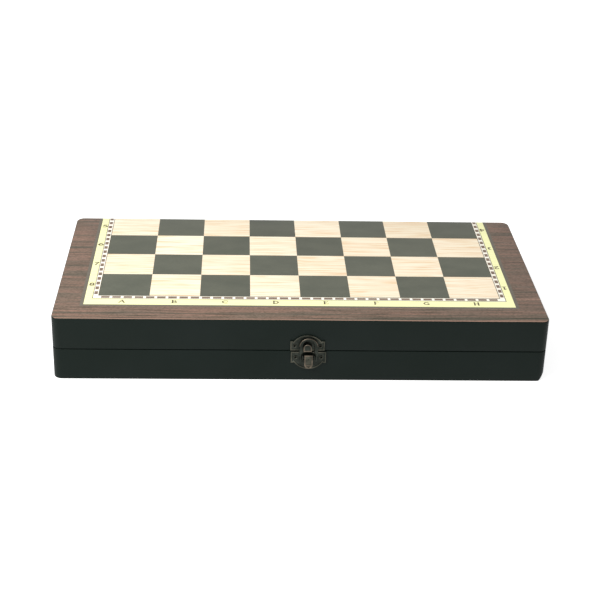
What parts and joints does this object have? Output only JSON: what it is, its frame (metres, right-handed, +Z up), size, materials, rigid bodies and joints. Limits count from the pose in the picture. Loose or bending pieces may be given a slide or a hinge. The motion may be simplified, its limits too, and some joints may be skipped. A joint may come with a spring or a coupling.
{
  "type": "folding chess set with board",
  "caption": "Flat wooden chess box that folds open into a chessboard, with a printed board on its outer faces, a toggle latch, back hinges and chessmen inside.",
  "frame": {"origin": "middle of the underside of the closed box", "axes": "+X to the right along the long side, -Y out of the front with the latch, +Z up"},
  "size_m": [0.29, 0.1555, 0.0394],
  "materials": {
    "board_print": "satin printed wood-grain board: rosewood border, charcoal and maple squares",
    "black_paint": "satin black paint on wood",
    "felt": "matt green felt",
    "hinge_brass": "aged satin brass",
    "latch_bronze": "dark antique bronze plating, worn lighter along the edges",
    "light_wood": "satin varnished boxwood",
    "dark_wood": "satin varnished dark stain"
  },
  "bodies": {
    "lower_half": {"lower_board_panel": "board_print", "lower_front_rail": "black_paint", "lower_back_rail": "black_paint", "lower_left_rail": "black_paint", "lower_right_rail": "black_paint", "lower_felt_lining": "felt", "left_hinge_lower_leaf": "hinge_brass", "left_hinge_pin": "hinge_brass", "right_hinge_lower_leaf": "hinge_brass", "right_hinge_pin": "hinge_brass", "latch_base_plate": "latch_bronze", "latch_pivot_pin": "latch_bronze", "latch_base_nail_left": "latch_bronze", "latch_base_nail_right": "latch_bronze", "white_rook_1": "light_wood", "white_knight_1": "light_wood", "white_bishop_1": "light_wood", "white_queen": "light_wood", "white_king": "light_wood", "white_bishop_2": "light_wood", "white_knight_2": "light_wood", "white_rook_2": "light_wood", "white_pawn_1": "light_wood", "white_pawn_2": "light_wood", "white_pawn_3": "light_wood", "white_pawn_4": "light_wood", "white_pawn_5": "light_wood", "white_pawn_6": "light_wood", "white_pawn_7": "light_wood", "white_pawn_8": "light_wood", "black_rook_1": "dark_wood", "black_knight_1": "dark_wood", "black_bishop_1": "dark_wood", "black_queen": "dark_wood", "black_king": "dark_wood", "black_bishop_2": "dark_wood", "black_knight_2": "dark_wood", "black_rook_2": "dark_wood", "black_pawn_1": "dark_wood", "black_pawn_2": "dark_wood", "black_pawn_3": "dark_wood", "black_pawn_4": "dark_wood", "black_pawn_5": "dark_wood", "black_pawn_6": "dark_wood", "black_pawn_7": "dark_wood", "black_pawn_8": "dark_wood"},
    "lid": {"upper_board_panel": "board_print", "upper_front_rail": "black_paint", "upper_back_rail": "black_paint", "upper_left_rail": "black_paint", "upper_right_rail": "black_paint", "upper_felt_lining": "felt", "left_hinge_upper_leaf": "hinge_brass", "right_hinge_upper_leaf": "hinge_brass", "latch_catch_plate": "latch_bronze", "latch_catch_nail_left": "latch_bronze", "latch_catch_nail_right": "latch_bronze"},
    "latch_lever": {"latch_lever": "latch_bronze"},
    "latch_loop": {"latch_loop": "latch_bronze"}
  },
  "joints": [
    {"name": "lid_hinge", "type": "hinge", "parent": "lower_half", "child": "lid", "pos_m": [0, 0.07525, 0.0197], "axis": [-1, 0, 0], "range_deg": [0, 180]},
    {"name": "latch_lever_pivot", "type": "hinge", "parent": "lower_half", "child": "latch_lever", "pos_m": [0.0047, -0.07735, 0.01646], "axis": [-1, 0, 0], "range_deg": [0, 120]},
    {"name": "latch_loop_pivot", "type": "hinge", "parent": "latch_lever", "child": "latch_loop", "pos_m": [0.0047, -0.077, 0.0144], "axis": [1, 0, 0], "range_deg": [0, 168]}
  ],
  "couplings": [
    {"joint": "latch_loop_pivot", "follows": "latch_lever_pivot", "ratio": 1.4}
  ]
}
